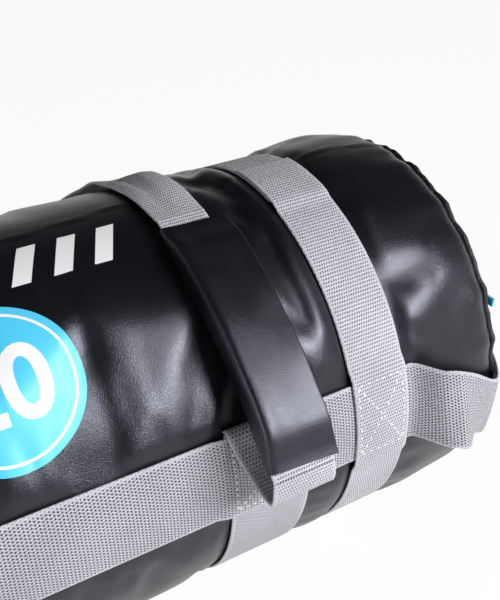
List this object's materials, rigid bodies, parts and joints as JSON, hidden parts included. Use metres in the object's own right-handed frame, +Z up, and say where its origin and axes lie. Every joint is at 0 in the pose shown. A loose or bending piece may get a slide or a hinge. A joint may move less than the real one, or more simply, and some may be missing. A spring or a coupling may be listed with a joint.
{
  "type": "sandbag trainer",
  "caption": "Round leather sandbag for strength training, lying on its side, with webbing bands, two swinging sleeved grips, end loops and a filling zip.",
  "frame": {"origin": "middle of the belly's flat underside, on the floor", "axes": "+X along the bag towards the end with the filling zip, -Y to the front with the badge, +Z up"},
  "size_m": [0.6456, 0.3078, 0.2414],
  "materials": {
    "leather": "semi-gloss grained black",
    "webbing": "matt ribbed light grey",
    "binding": "matt black",
    "grip_leather": "semi-gloss smooth black",
    "foam": "matt",
    "wadding": "matt",
    "sand_cloth": "matt",
    "badge_film": "satin",
    "zip_cloth": "matt",
    "zip_nylon": "satin",
    "zip_metal": "satin",
    "pull": "matt"
  },
  "bodies": {
    "root": {"outer_shell": "leather", "end_panel_left": "leather", "end_binding_left": "binding", "end_panel_right": "leather", "end_binding_right": "binding", "wadding_sleeve": "wadding", "sand_bag_1": "sand_cloth", "sand_bag_2": "sand_cloth", "sand_bag_3": "sand_cloth", "sand_bag_4": "sand_cloth", "inner_band_left": "webbing", "outer_band_left": "webbing", "inner_band_right": "webbing", "outer_band_right": "webbing", "front_strap": "webbing", "back_strap": "webbing", "handle_upper_leg_left": "webbing", "handle_lower_leg_left": "webbing", "end_loop_root_front_left": "webbing", "end_loop_root_back_left": "webbing", "handle_upper_leg_right": "webbing", "handle_lower_leg_right": "webbing", "end_loop_root_front_right": "webbing", "end_loop_root_back_right": "webbing", "number_badge": "badge_film", "zip_tape_upper": "zip_cloth", "zip_tape_lower": "zip_cloth", "zip_teeth": "zip_nylon"},
    "grip_left": {"grip_sleeve_left": "grip_leather", "grip_webbing_left": "webbing", "grip_pad_outer_left": "foam", "grip_pad_inner_left": "foam"},
    "grip_right": {"grip_sleeve_right": "grip_leather", "grip_webbing_right": "webbing", "grip_pad_outer_right": "foam", "grip_pad_inner_right": "foam"},
    "end_loop_left": {"end_loop_left": "webbing"},
    "end_loop_right": {"end_loop_right": "webbing"},
    "zip_slider": {"zip_slider": "zip_metal"},
    "zip_pull": {"zip_pull": "pull"}
  },
  "joints": [
    {"name": "grip_left_swing", "type": "hinge", "parent": "root", "child": "grip_left", "pos_m": [-0.124, -0.02947, 0.23804], "axis": [-1, 0, 0], "range_deg": [0, 25], "deforming": ["handle_lower_leg_left"]},
    {"name": "grip_right_swing", "type": "hinge", "parent": "root", "child": "grip_right", "pos_m": [0.124, -0.02947, 0.23804], "axis": [-1, 0, 0], "range_deg": [0, 25], "deforming": ["handle_lower_leg_right"]},
    {"name": "end_loop_left_swing", "type": "hinge", "parent": "root", "child": "end_loop_left", "pos_m": [-0.2283, 0, 0.12917], "axis": [0, 1, 0], "range_deg": [-4, 20], "deforming": ["end_loop_root_front_left", "end_loop_root_back_left"]},
    {"name": "end_loop_right_swing", "type": "hinge", "parent": "root", "child": "end_loop_right", "pos_m": [0.2283, 0, 0.12917], "axis": [0, -1, 0], "range_deg": [-4, 20], "deforming": ["end_loop_root_front_right", "end_loop_root_back_right"]},
    {"name": "zip_slider_travel", "type": "slide", "parent": "root", "child": "zip_slider", "axis": [0, 1, 0], "range_m": [0, 0.136]},
    {"name": "zip_pull_flip", "type": "hinge", "parent": "zip_slider", "child": "zip_pull", "pos_m": [0.2956, -0.07203, 0.1624], "axis": [0, 0, 1], "range_deg": [0, 176]}
  ]
}
